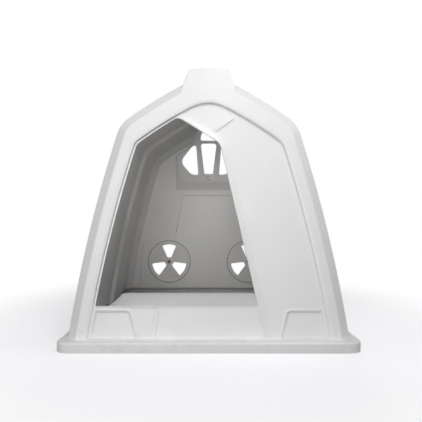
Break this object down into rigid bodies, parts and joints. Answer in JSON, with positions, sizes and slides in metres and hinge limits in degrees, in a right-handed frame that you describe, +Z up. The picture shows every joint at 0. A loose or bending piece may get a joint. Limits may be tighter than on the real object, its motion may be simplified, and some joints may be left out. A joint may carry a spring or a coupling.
{
  "type": "calf hutch",
  "caption": "One-piece moulded calf hutch with a gothic section, side doorway, full-length ridge, turning vent discs and a rear ridge shutter.",
  "frame": {"origin": "on the ground under the middle of the hutch", "axes": "+X across the hutch to the right as seen from the front, -Y out of the doorway wall, +Z up"},
  "size_m": [1.48, 2.15, 1.4],
  "materials": {
    "moulded_plastic": "white polyethylene, lightly textured by the mould",
    "vent_plastic": "white polyethylene sheet",
    "knob_plastic": "white, smooth",
    "dull_steel": "plated steel gone dull and brown"
  },
  "bodies": {
    "hutch": {"shell": "moulded_plastic", "vent_bolts": "dull_steel", "vent_head_washers": "dull_steel", "vent_wall_washers": "dull_steel", "vent_nuts": "dull_steel", "shutter_bolt": "dull_steel", "shutter_head_washer": "dull_steel", "shutter_wall_washer": "dull_steel"},
    "left_disc": {"vent_disc_left": "vent_plastic"},
    "right_disc": {"vent_disc_right": "vent_plastic"},
    "shutter": {"ridge_shutter": "vent_plastic"},
    "knob": {"shutter_knob": "knob_plastic"}
  },
  "joints": [
    {"name": "left_disc_turn", "type": "hinge", "parent": "hutch", "child": "left_disc", "pos_m": [-0.333, 0.98801, 0.27848], "axis": [0, 0.9986, 0.0523], "continuous": true},
    {"name": "right_disc_turn", "type": "hinge", "parent": "hutch", "child": "right_disc", "pos_m": [0.333, 0.98801, 0.27848], "axis": [0, 0.9986, 0.0523], "continuous": true},
    {"name": "shutter_turn", "type": "hinge", "parent": "hutch", "child": "shutter", "pos_m": [0, 0.98871, 0.984], "axis": [0, 0.9927, 0.1205], "range_deg": [0, 180]},
    {"name": "knob_turn", "type": "hinge", "parent": "hutch", "child": "knob", "pos_m": [0, 0.98871, 0.984], "axis": [0, 0.9927, 0.1205], "continuous": true}
  ]
}
